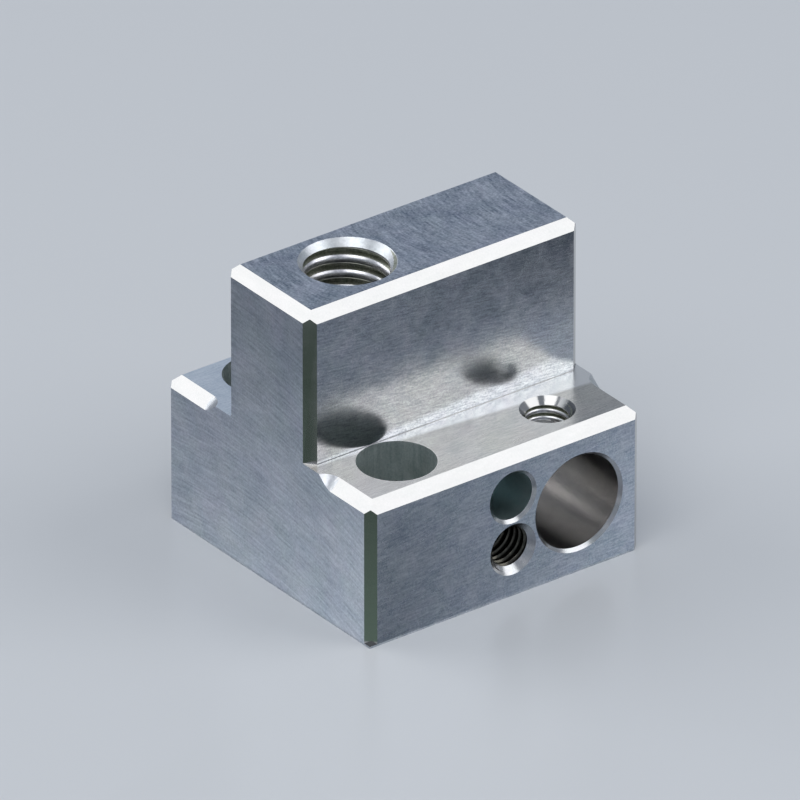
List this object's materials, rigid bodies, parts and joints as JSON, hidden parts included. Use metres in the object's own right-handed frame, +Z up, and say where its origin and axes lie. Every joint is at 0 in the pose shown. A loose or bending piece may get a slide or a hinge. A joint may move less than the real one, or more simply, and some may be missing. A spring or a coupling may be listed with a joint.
{
  "type": "heater block",
  "caption": "Small milled heater block: a square base with an upright tower along its middle, a tapped nozzle hole down the tower, and heater and sensor bores in one side.",
  "frame": {"origin": "middle of the underside", "axes": "+Z up the tower, +X along the tower towards the heater's end, -Y out of the face with the heater and sensor bores"},
  "size_m": [0.02, 0.02, 0.0195],
  "materials": {
    "aluminium": "bare, as milled"
  },
  "bodies": {
    "root": {"heater_block": "aluminium"}
  },
  "joints": []
}
